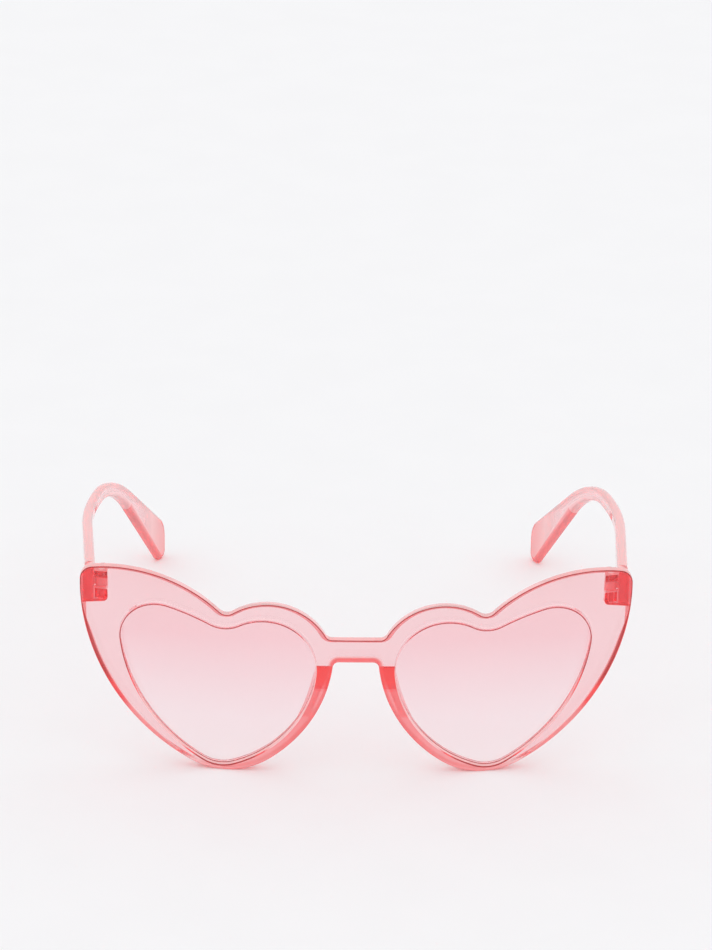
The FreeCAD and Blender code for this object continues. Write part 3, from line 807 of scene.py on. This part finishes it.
def paint_slim_rim_shade(bm):
    """Paint shade onto the flat of the slim rim, in level strips."""
    for i in range(math.ceil((NOSE_RED + NOSE_FADE) / ARC_STEP) + 1):
        flat = [f for f in bm.faces if max(v.co.y for v in f.verts) < MERGE]
        nose = [f for f in flat if f.calc_center_median().x < LENS_TIP_X]
        geom = set(nose)
        for face in nose:
            geom.update(face.verts)
            geom.update(face.edges)
        cut_across(bm, list(geom), (0, 0, NOSE_TOP - i * ARC_STEP), (0, 0, 1))
    for face in bm.faces:
        if max(v.co.y for v in face.verts) < MERGE:
            place = face.calc_center_median()
            share = slim_rim_share(place.x, place.z)
            if share:
                set_painted_shade(bm, [face], slim_rim_tone(place.z) * share)


def make_front():
    """The one-piece front: rims, bridge, nose pads and hinge lugs."""
    bm = new_mesh()
    arcs = rim_edge()
    moves = [run(Vector((arcs[0].x, 0)))] + follow(arcs, UP, -UP) + [run(Vector((-arcs[-1].x, 0)))]
    sweep(bm, Vector((0, BRIDGE_BOTTOM)), -UP, moves, front_edge_at)
    half_way = (BRIDGE_BOTTOM + BRIDGE_TOP) / 2
    for depth in (0, FRONT_THICKNESS):
        ends = [v for v in bm.verts if abs(v.co.x) < MERGE and abs(v.co.y - depth) < MERGE]
        below = max((v for v in ends if v.co.z < half_way), key=lambda v: v.co.z)
        above = min((v for v in ends if v.co.z > half_way), key=lambda v: v.co.z)
        bm.edges.new((below, above))
    sweep_opening(bm, opening_edge_at)
    close_face(bm, 0)
    paint_slim_rim_shade(bm)
    close_face(bm, FRONT_THICKNESS)
    slice_along_x(bm, 0, OUTER_X)
    add_mirror_half(bm)
    bend_to_front(bm)
    front = as_object(bm, "front_moulding")
    for part in (make_nose_pad(), make_end_block()):
        carve(front, other_side(part, "other"), "UNION")
        carve(front, part, "UNION")
    return front


# Lenses

def make_lens():
    """The left lens, a heart shaped plate on the front's curve."""
    bm = new_mesh()
    growth = GROOVE_DEPTH - LENS_CLEARANCE
    edge = rounded_edge(LENS_EDGE_ROUND, LENS_EDGE_ROUND, LENS_THICKNESS)
    section = [(reach + growth, depth + LENS_SETBACK, tone) for reach, depth, tone in edge]
    sweep_opening(bm, lambda place, out: section)
    close_face(bm, LENS_SETBACK)
    close_face(bm, LENS_SETBACK + LENS_THICKNESS)
    slice_along_x(bm, LENS_NOSE_X, LENS_OUTER_X)
    bend_to_front(bm)
    return as_object(bm, "left_lens_plate")


# Temples

def strip_x(y, corner_x, corner_y, radius, inward):
    """Where a temple's face lies in plan: out along the arm, round the turn and in behind the ear."""
    splay = math.radians(ARM_SPLAY)
    reach = radius * math.tan((splay + inward) / 2)
    turn_start = corner_y - reach * math.cos(splay)
    turn_end = corner_y + reach * math.cos(inward)
    if y < turn_start:
        return corner_x - (corner_y - y) * math.tan(splay)
    if y > turn_end:
        return corner_x - (y - corner_y) * math.tan(inward)
    centre_x = corner_x - reach * math.sin(splay) - radius * math.cos(splay)
    centre_y = turn_start + radius * math.sin(splay)
    return centre_x + math.sqrt(radius ** 2 - (y - centre_y) ** 2)


def bend_to_temple(bm):
    """Turn a temple's side view, drawn in x and z with its outer face at depth 0, into its place."""
    splay = math.radians(ARM_SPLAY)
    inward = math.radians(EAR_TURN - ARM_SPLAY)
    corner_y = TEMPLE_REACH - EAR_SWEEP
    corner_x = ARM_OUTER_X + (corner_y - ARM_Y) * math.tan(splay)
    share = ARM_THICKNESS / (1 + math.cos(math.radians(EAR_TURN)))
    inner_x = corner_x - share * (math.cos(splay) + math.cos(inward))
    inner_y = corner_y - share * (math.sin(inward) - math.sin(splay))
    tip_x = corner_x - EAR_SWEEP * math.tan(inward) - TIP_THICKNESS / math.cos(inward)
    inner_inward = math.atan2(inner_x - tip_x, TEMPLE_REACH - inner_y)
    for v in bm.verts:
        y = v.co.x
        outer = strip_x(y, corner_x, corner_y, EAR_TURN_RADIUS, inward)
        inner = strip_x(y, inner_x, inner_y, EAR_TURN_RADIUS - ARM_THICKNESS, inner_inward)
        v.co = (outer + (inner - outer) * v.co.y / ARM_THICKNESS, y, v.co.z)


def make_knuckle():
    """The left temple's knuckle on its short web."""
    # Painted salmon shade on the knuckle and its barrel
    knuckle = box("knuckle", (HINGE_X, ARM_Y, KNUCKLE_BOTTOM),
                  (ARM_INNER_X + EMBED, ARM_Y + WEB_DEPTH, KNUCKLE_TOP), SALMON)
    carve(knuckle, hinge_rod("barrel", KNUCKLE_RADIUS, KNUCKLE_BOTTOM, KNUCKLE_TOP, SALMON), "UNION")
    hole = hinge_rod("hole", SCREW_RADIUS + SCREW_CLEARANCE, BLOCK_BOTTOM, BLOCK_TOP, SALMON)
    carve(knuckle, hole, "DIFFERENCE")
    return knuckle


def arm_edge_at(place, out):
    """A temple's edge, whose painted shade fades softly into the flats. It is painted coral underneath and
    pale on top.
    """
    ear = smooth((place.x - EAR_START) / EAR_RISE)
    end = smooth((place.x - TEMPLE_REACH + TIP_HEIGHT) / TIP_HEIGHT)
    top = part_way(ROSE, SLIGHT_SHADE, ear)
    under = part_way(ROSE, RIM_CORAL, ear)
    tone = part_way(part_way(top, under, smooth(-out.y)), CORAL, end)
    lower = ear * smooth(-out.y / UNDERSIDE) * smooth((EAR_END - place.x) / TIP_ROUND)
    width = part_way(ARM_SHADE, EAR_SHADE, lower)
    shares = [(i + 1) / SHADE_STEPS for i in range(SHADE_STEPS)]
    shades = [(-ARM_EDGE_ROUND - width * share, part_way(SLIGHT_SHADE, tone, 1 - share)) for share in shares]
    edge = rounded_edge(ARM_EDGE_ROUND, ARM_EDGE_ROUND, ARM_THICKNESS, tone, tone, tone)
    outer = [(reach, 0, shade) for reach, shade in reversed(shades)]
    inner = [(reach, ARM_THICKNESS, shade) for reach, shade in shades]
    return outer + edge[1:-1] + inner


def make_temple():
    """The left temple: a tapering arm, the bend over the ear and an ear piece that stands on its tip."""
    arm, ear, ear_under = [math.tan(math.radians(a)) for a in (ARM_SLOPE, EAR_SLOPE, EAR_UNDER_SLOPE)]
    under = BLOCK_TOP - ARM_HEIGHT
    foot_y = TEMPLE_REACH - TIP_FLAT - TIP_ROUND * (1 + math.tan(math.radians(EAR_UNDER_SLOPE) / 2))
    bend_y = (TIP_HEIGHT - BLOCK_TOP + TEMPLE_REACH * ear - ARM_Y * arm) / (ear - arm)
    under_y = (foot_y * ear_under - under - ARM_Y * arm) / (ear_under - arm)
    taper = (under - ARM_TAPER * arm - BLOCK_BOTTOM) / ARM_TAPER
    corners = (
        (ARM_Y - TRIM, BLOCK_TOP + TRIM * arm, ARM_END_ROUND),
        (ARM_Y - TRIM, BLOCK_BOTTOM - TRIM * taper, ARM_END_ROUND),
        (ARM_Y + ARM_TAPER, under - ARM_TAPER * arm, TAPER_ROUND),
        (under_y, under - (under_y - ARM_Y) * arm, BEND_UNDER_ROUND),
        (foot_y, 0, TIP_ROUND),
        (TEMPLE_REACH, 0, TIP_ROUND),
        (TEMPLE_REACH, TIP_HEIGHT, TIP_TOP_ROUND),
        (bend_y, BLOCK_TOP - (bend_y - ARM_Y) * arm, BEND_TOP_ROUND),
    )
    start, moves = rounded_polygon(corners)
    along = Vector(corners[0][:2]) - start
    normal = Vector((along.y, -along.x)).normalized()
    bm = new_mesh()
    sweep(bm, start, normal, moves, arm_edge_at)
    edged = set(bm.faces)
    close_face(bm, 0)
    close_face(bm, ARM_THICKNESS)
    # Painted shade: a slight tone on the flats, and a little more on the cut end
    set_painted_shade(bm, set(bm.faces) - edged, SLIGHT_SHADE)
    cut_behind(bm, (ARM_Y, 0, 0), (-1, 0, 0))
    set_painted_shade(bm, [f for f in bm.faces if f.normal.x < -STRAIGHT], FAINT)
    slice_along_x(bm, ARM_Y, EAR_START)
    slice_along_x(bm, EAR_START - ARC_STEP, TEMPLE_REACH, ARC_STEP)
    # Painted shade deepens on the side faces towards the ear tip
    painted_shade = bm.faces.layers.float["painted_shade"]
    for face in bm.faces:
        if abs(face.normal.y) > STRAIGHT:
            end = smooth((face.calc_center_median().x - TEMPLE_REACH + EAR_FADE) / EAR_FADE)
            face[painted_shade] = max(face[painted_shade], part_way(SLIGHT_SHADE, EAR_ROSE, end))
    bend_to_temple(bm)
    temple = as_object(bm, "left_temple_arm")
    carve(temple, make_knuckle(), "UNION")
    return temple


# Hinge screws

def make_screw():
    """The left hinge screw, turned, with a slot across its head."""
    bm = bmesh.new()
    profile = (
        (0, LUG_BOTTOM),
        (SCREW_RADIUS - HEAD_ROUND, LUG_BOTTOM),
        (SCREW_RADIUS, LUG_BOTTOM + HEAD_ROUND),
        (SCREW_RADIUS, HEAD_SEAT),
        (HEAD_RADIUS, HEAD_SEAT),
        (HEAD_RADIUS, UPPER_LUG_TOP - HEAD_ROUND),
        (HEAD_RADIUS - HEAD_ROUND, UPPER_LUG_TOP),
        (0, UPPER_LUG_TOP),
    )
    verts = [bm.verts.new((HINGE_X + radius, HINGE_Y, z)) for radius, z in profile]
    edges = [bm.edges.new(pair) for pair in zip(verts, verts[1:])]
    bmesh.ops.spin(bm, geom=verts + edges, cent=(HINGE_X, HINGE_Y, 0), axis=(0, 0, 1), angle=math.tau,
                   steps=ROD_SIDES, use_merge=True, use_duplicate=False)
    bmesh.ops.remove_doubles(bm, verts=bm.verts[:], dist=MERGE)
    screw = as_object(bm, "left_screw_turned")
    slot = box("slot", (HINGE_X - 2 * HEAD_RADIUS, HINGE_Y - SLOT_WIDTH / 2, UPPER_LUG_TOP - SLOT_DEPTH),
               (HINGE_X + 2 * HEAD_RADIUS, HINGE_Y + SLOT_WIDTH / 2, UPPER_LUG_TOP + SLOT_DEPTH))
    carve(screw, slot, "DIFFERENCE")
    return screw


# Finishes. Ramps are (place, colour) pairs, and fine marks are a scale and a detail.

PLASTIC_IOR = 1.5
PLASTIC_COLOUR = (0.995, 0.125, 0.2, 1)
PLASTIC_DENSITY = 108
PLASTIC_ROUGHNESS = (0.015, 0.055)
PLASTIC_TINTS = ((0.3, (0.995, 0.98, 0.982)), (0.7, (1.0, 0.995, 0.995)))
FLOW_MARKS = (60, 3)
POLISH_MARKS = (900, 4)
# Colours and clearness of the painted shade over its tones, from clear through coral to a painted dark line
PAINTED_SHADE_COLOURS = (
    (0.0, (1, 1, 1)),
    (FULL_CORAL, (1.0, 0.12, 0.13)),
    (RED, (1.0, 0.09, 0.09)),
    (1.0, (0.12, 0.004, 0.006)),
)
PAINTED_SHADE_CLARITY = (
    (0.0, (1, 1, 1)),
    (FAINT, (0.35, 0.35, 0.35)),
    (FULL_CORAL, (0.45, 0.45, 0.45)),
    (RED, (0.2, 0.2, 0.2)),
    (1.0, (0.6, 0.6, 0.6)),
)

LENS_IOR = 1.5
LENS_ROUGHNESS = (0.01, 0.03)
LENS_MARKS = (700, 3)
LENS_TINTS = (
    (0.0, (0.995, 0.94, 0.945)),
    (0.3, (0.995, 0.88, 0.9)),
    (0.58, (0.995, 0.76, 0.79)),
    (0.8, (0.995, 0.665, 0.7)),
    (1.0, (0.995, 0.65, 0.68)),
)

STEEL_ROUGHNESS = (0.2, 0.4)
STEEL_TINTS = ((0.3, (0.72, 0.70, 0.68)), (0.7, (0.88, 0.86, 0.84)))
LATHE_MARKS = (9000, 4)

TABLE_ROUGHNESS = 0.9
TABLE_GLOSS = 0.1
TABLE_TINTS = ((0.3, (0.915, 0.915, 0.93)), (0.7, (0.925, 0.925, 0.94)))
TABLE_MARKS = (40, 2)


def new_finish(name):
    """A material with its node tree and its Principled shader."""
    material = bpy.data.materials.new(name)
    material.use_nodes = True
    tree = material.node_tree
    return material, tree, tree.nodes["Principled BSDF"]


def mottle(tree, scale, detail):
    """Fine uneven marks that lie still on the piece."""
    place = tree.nodes.new("ShaderNodeTexCoord")
    noise = tree.nodes.new("ShaderNodeTexNoise")
    noise.inputs["Scale"].default_value = scale
    noise.inputs["Detail"].default_value = detail
    tree.links.new(place.outputs["Object"], noise.inputs["Vector"])
    return noise.outputs["Fac"]


def height_in(tree, coordinates):
    """The Z of a piece's Object coordinates, or of the world's direction, which it calls Generated."""
    place = tree.nodes.new("ShaderNodeTexCoord")
    parts = tree.nodes.new("ShaderNodeSeparateXYZ")
    tree.links.new(place.outputs[coordinates], parts.inputs["Vector"])
    return parts.outputs["Z"]


def ranged(tree, source, low, high):
    """Spread a value from 0 to 1 over a range."""
    spread = tree.nodes.new("ShaderNodeMapRange")
    spread.inputs["To Min"].default_value = low
    spread.inputs["To Max"].default_value = high
    tree.links.new(source, spread.inputs["Value"])
    return spread.outputs["Result"]


def shade_between(tree, source, stops):
    """A colour ramp over a value."""
    ramp = tree.nodes.new("ShaderNodeValToRGB")
    tree.links.new(source, ramp.inputs["Fac"])
    elements = ramp.color_ramp.elements
    for element, (place, colour) in zip(elements, (stops[0], stops[-1])):
        element.position = place
        element.color = (*colour, 1)
    for place, colour in stops[1:-1]:
        element = elements.new(place)
        element.color = (*colour, 1)
    return ramp.outputs["Color"]


def clear_pink_plastic():
    """Polished clear moulding, deeper coral where the light goes further through it, with painted coral shade
    and painted dark lines from the faces' tones.
    """
    material, tree, shader = new_finish("clear_pink_plastic")
    tint = shade_between(tree, mottle(tree, *FLOW_MARKS), PLASTIC_TINTS)
    painted_shade = tree.nodes.new("ShaderNodeAttribute")
    painted_shade.attribute_name = "painted_shade"
    deep = shade_between(tree, painted_shade.outputs["Fac"], PAINTED_SHADE_COLOURS)
    both = tree.nodes.new("ShaderNodeMix")
    both.data_type = "RGBA"
    both.blend_type = "MULTIPLY"
    both.inputs["Factor"].default_value = 1
    tree.links.new(tint, both.inputs["A"])
    tree.links.new(deep, both.inputs["B"])
    tree.links.new(both.outputs["Result"], shader.inputs["Base Color"])
    polish = ranged(tree, mottle(tree, *POLISH_MARKS), *PLASTIC_ROUGHNESS)
    tree.links.new(polish, shader.inputs["Roughness"])
    clear = shade_between(tree, painted_shade.outputs["Fac"], PAINTED_SHADE_CLARITY)
    tree.links.new(clear, shader.inputs["Transmission Weight"])
    shader.inputs["IOR"].default_value = PLASTIC_IOR
    body = tree.nodes.new("ShaderNodeVolumeAbsorption")
    body.inputs["Color"].default_value = PLASTIC_COLOUR
    body.inputs["Density"].default_value = PLASTIC_DENSITY
    tree.links.new(body.outputs["Volume"], tree.nodes["Material Output"].inputs["Volume"])
    return material


def tinted_lens():
    """Clear lens, pink at the top and almost clear at the bottom."""
    material, tree, shader = new_finish("tinted_lens")
    low, high = [corner.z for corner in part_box("left_lens")]
    rise = tree.nodes.new("ShaderNodeMapRange")
    rise.inputs["From Min"].default_value = low
    rise.inputs["From Max"].default_value = high
    tree.links.new(height_in(tree, "Object"), rise.inputs["Value"])
    tint = shade_between(tree, rise.outputs["Result"], LENS_TINTS)
    tree.links.new(tint, shader.inputs["Base Color"])
    polish = ranged(tree, mottle(tree, *LENS_MARKS), *LENS_ROUGHNESS)
    tree.links.new(polish, shader.inputs["Roughness"])
    shader.inputs["IOR"].default_value = LENS_IOR
    shader.inputs["Transmission Weight"].default_value = 1
    return material


def screw_steel():
    """Turned steel with fine lathe marks."""
    material, tree, shader = new_finish("screw_steel")
    grain = mottle(tree, *LATHE_MARKS)
    tree.links.new(shade_between(tree, grain, STEEL_TINTS), shader.inputs["Base Color"])
    tree.links.new(ranged(tree, grain, *STEEL_ROUGHNESS), shader.inputs["Roughness"])
    shader.inputs["Metallic"].default_value = 1
    return material


def table_top():
    """Pale matt table."""
    material, tree, shader = new_finish("table_top")
    tint = shade_between(tree, mottle(tree, *TABLE_MARKS), TABLE_TINTS)
    tree.links.new(tint, shader.inputs["Base Color"])
    shader.inputs["Roughness"].default_value = TABLE_ROUGHNESS
    shader.inputs["Specular IOR Level"].default_value = TABLE_GLOSS
    return material


# Studio, in metres and degrees, with the film in millimetres and the focal length in pixels

TABLE_SIZE = 12.0
TABLE_SQUARES = 8
LIGHT_LOW = 0.92
LIGHT_ABOVE = 1.05
CLEAR_BOUNCES = 48
MATT_BOUNCES = 24
CAMERA_PLACE = (-0.0214, -1.0510, 0.5222)
CAMERA_YAW = 1.201
CAMERA_PITCH = 23.884
CAMERA_ROLL = 0.957
FILM_HEIGHT = 36.0
IMAGE_HEIGHT = 950
FOCAL_PIXELS = 4159.7


def lay_table():
    """A wide flat table under the glasses."""
    bm = bmesh.new()
    bmesh.ops.create_grid(bm, x_segments=TABLE_SQUARES, y_segments=TABLE_SQUARES, size=TABLE_SIZE / 2)
    table = link_mesh(bm, "table_top")
    table.data.materials.append(table_top())


def light_studio():
    """Soft white light all round, somewhat stronger from above."""
    world = bpy.data.worlds.new("studio")
    bpy.context.scene.world = world
    world.use_nodes = True
    tree = world.node_tree
    light = tree.nodes["Background"]
    light.inputs["Color"].default_value = (1, 1, 1, 1)
    strength = ranged(tree, height_in(tree, "Generated"), LIGHT_LOW, LIGHT_ABOVE)
    tree.links.new(strength, light.inputs["Strength"])


def set_render():
    """Plain colours, and bounces enough for light to pass through the clear plastic."""
    scene = bpy.context.scene
    scene.view_settings.view_transform = "Standard"
    scene.cycles.max_bounces = CLEAR_BOUNCES
    scene.cycles.transmission_bounces = CLEAR_BOUNCES
    scene.cycles.glossy_bounces = CLEAR_BOUNCES
    scene.cycles.diffuse_bounces = MATT_BOUNCES
    scene.cycles.blur_glossy = 0


def set_camera():
    """The camera in front of the glasses, looking down on them."""
    data = bpy.data.cameras.new("camera")
    data.sensor_fit = "VERTICAL"
    data.sensor_height = FILM_HEIGHT
    data.lens = FILM_HEIGHT * FOCAL_PIXELS / IMAGE_HEIGHT
    camera = bpy.data.objects.new("camera", data)
    bpy.context.scene.collection.objects.link(camera)
    aim = Matrix.Rotation(math.radians(-CAMERA_YAW), 4, "Z")
    aim = aim @ Matrix.Rotation(math.radians(90 - CAMERA_PITCH), 4, "X")
    aim = aim @ Matrix.Rotation(math.radians(CAMERA_ROLL), 4, "Z")
    camera.matrix_world = Matrix.Translation(CAMERA_PLACE) @ aim
    bpy.context.scene.camera = camera


# The glasses

plastic = clear_pink_plastic()
lens_tint = tinted_lens()
steel = screw_steel()

settle(make_front(), "front", "front_frame", plastic)

left_lens = make_lens()
right_lens = other_side(left_lens, "right_lens_plate")
settle(left_lens, "front", "left_lens", lens_tint)
settle(right_lens, "front", "right_lens", lens_tint)

left_temple = make_temple()
right_temple = other_side(left_temple, "right_temple_arm")
settle(left_temple, "left_arm", "left_temple", plastic)
settle(right_temple, "right_arm", "right_temple", plastic)

left_screw = make_screw()
right_screw = other_side(left_screw, "right_screw_turned")
settle(left_screw, "front", "left_hinge_screw", steel)
settle(right_screw, "front", "right_hinge_screw", steel)

lay_table()
light_studio()
set_render()
set_camera()
